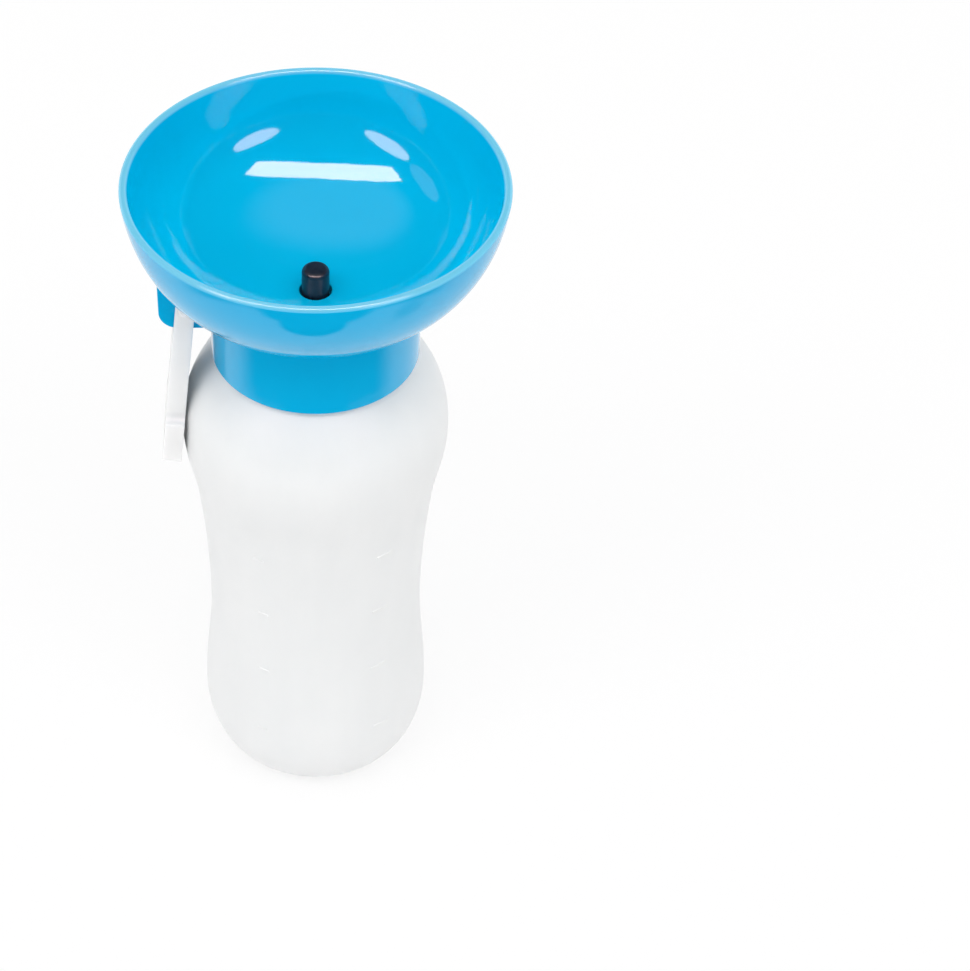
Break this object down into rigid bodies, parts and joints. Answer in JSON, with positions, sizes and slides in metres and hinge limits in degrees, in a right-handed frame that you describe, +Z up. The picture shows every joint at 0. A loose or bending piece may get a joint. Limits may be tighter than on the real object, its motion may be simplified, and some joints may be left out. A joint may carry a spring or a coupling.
{
  "type": "dog travel water bottle",
  "caption": "Squeeze bottle whose screw cap is a drinking bowl for dogs, with a push valve in the bowl's floor and a belt clip.",
  "frame": {"origin": "centre of the bottle's flat foot ring, on the table", "axes": "+Z up along the bottle, -X towards the belt clip, -Y towards the graduation marks"},
  "size_m": [0.1102, 0.1102, 0.2184],
  "materials": {
    "milky_plastic": "translucent milky, softly frosted",
    "blue_plastic": "glossy, moulded",
    "grey_rubber": "smooth",
    "black_plastic": "satin, moulded",
    "clear_plastic": "translucent, extruded",
    "white_plastic": "satin, moulded"
  },
  "bodies": {
    "bottle": {"bottle": "milky_plastic"},
    "neck_seal": {"neck_gasket": "grey_rubber"},
    "cap": {"bowl_cap": "blue_plastic", "valve_body": "black_plastic", "dip_tube": "clear_plastic", "clip_pin": "white_plastic"},
    "valve": {"valve_plunger": "black_plastic", "plunger_o_ring": "grey_rubber"},
    "clip": {"belt_clip": "white_plastic"}
  },
  "joints": [
    {"name": "cap_rise", "type": "slide", "parent": "bottle", "child": "neck_seal", "axis": [0, 0, 1], "range_m": [0, 0.00626]},
    {"name": "cap_turn", "type": "hinge", "parent": "neck_seal", "child": "cap", "pos_m": [0, 0, 0.18], "axis": [0, 0, 1], "range_deg": [0, 450]},
    {"name": "valve_press", "type": "slide", "parent": "cap", "child": "valve", "axis": [0, 0, -1], "range_m": [0, 0.004]},
    {"name": "clip_swing", "type": "hinge", "parent": "cap", "child": "clip", "pos_m": [-0.0372, 0, 0.18], "axis": [0, 1, 0], "range_deg": [0, 108]}
  ],
  "couplings": [
    {"joint": "cap_rise", "follows": "cap_turn", "m_per_rad": 0.00079577}
  ]
}
